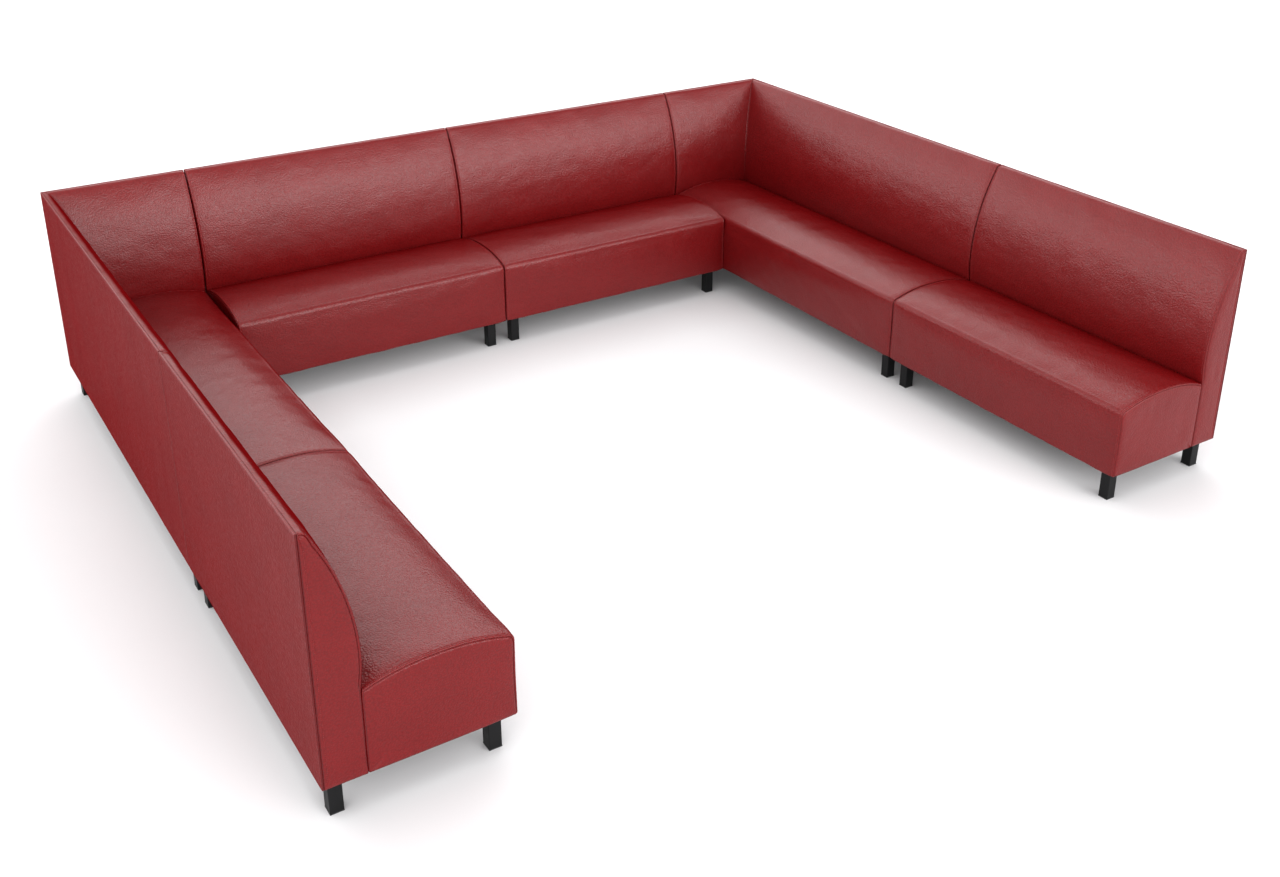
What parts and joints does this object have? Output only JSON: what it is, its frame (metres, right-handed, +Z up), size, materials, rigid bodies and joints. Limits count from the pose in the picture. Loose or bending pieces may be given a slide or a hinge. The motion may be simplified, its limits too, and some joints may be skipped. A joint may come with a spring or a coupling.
{
  "type": "u-shaped booth seating",
  "caption": "Upholstered bench seating in a U that is open to the front, with a fixed curved back all round, arched seat cushions and square legs.",
  "frame": {"origin": "on the floor, at the middle of the plan's bounding rectangle", "axes": "+X to the right along the back row, +Y from the open front towards the back row, +Z up"},
  "size_m": [3.842, 3.229, 0.965],
  "materials": {
    "leatherette": "pebbled, satin",
    "foam": "open-cell foam",
    "timber": "sawn pine and birch plywood",
    "webbing": "woven elastic strap",
    "leg_paint": "satin powder coat",
    "glide_plastic": "moulded",
    "zinc_steel": "zinc plated",
    "dust_cloth": "non-woven"
  },
  "bodies": {
    "root": {"left_end_seat_cover": "leatherette", "left_end_seat_foam": "foam", "left_end_seat_frame": "timber", "left_end_seat_webbing": "webbing", "left_end_back_cover": "leatherette", "left_end_back_foam": "foam", "left_end_back_frame": "timber", "left_end_outer_panel": "leatherette", "left_end_legs": "leg_paint", "right_end_seat_cover": "leatherette", "right_end_seat_foam": "foam", "right_end_seat_frame": "timber", "right_end_seat_webbing": "webbing", "right_end_back_cover": "leatherette", "right_end_back_foam": "foam", "right_end_back_frame": "timber", "right_end_outer_panel": "leatherette", "right_end_legs": "leg_paint", "back_left_seat_cover": "leatherette", "back_left_seat_foam": "foam", "back_left_seat_frame": "timber", "back_left_seat_webbing": "webbing", "back_left_back_cover": "leatherette", "back_left_back_foam": "foam", "back_left_back_frame": "timber", "back_left_outer_panel": "leatherette", "back_left_legs": "leg_paint", "back_right_seat_cover": "leatherette", "back_right_seat_foam": "foam", "back_right_seat_frame": "timber", "back_right_seat_webbing": "webbing", "back_right_back_cover": "leatherette", "back_right_back_foam": "foam", "back_right_back_frame": "timber", "back_right_outer_panel": "leatherette", "back_right_legs": "leg_paint", "left_corner_seat_cover": "leatherette", "left_corner_seat_foam": "foam", "left_corner_seat_frame": "timber", "left_corner_seat_webbing": "webbing", "left_corner_back_cover": "leatherette", "left_corner_back_foam": "foam", "left_corner_back_frame": "timber", "left_corner_outer_panel": "leatherette", "left_corner_legs": "leg_paint", "right_corner_seat_cover": "leatherette", "right_corner_seat_foam": "foam", "right_corner_seat_frame": "timber", "right_corner_seat_webbing": "webbing", "right_corner_back_cover": "leatherette", "right_corner_back_foam": "foam", "right_corner_back_frame": "timber", "right_corner_outer_panel": "leatherette", "right_corner_legs": "leg_paint", "leg_glides": "glide_plastic", "leg_bolts": "zinc_steel", "link_plates": "leg_paint", "leg_spacers": "leg_paint", "dust_covers": "dust_cloth", "seat_fixings": "zinc_steel"}
  },
  "joints": []
}
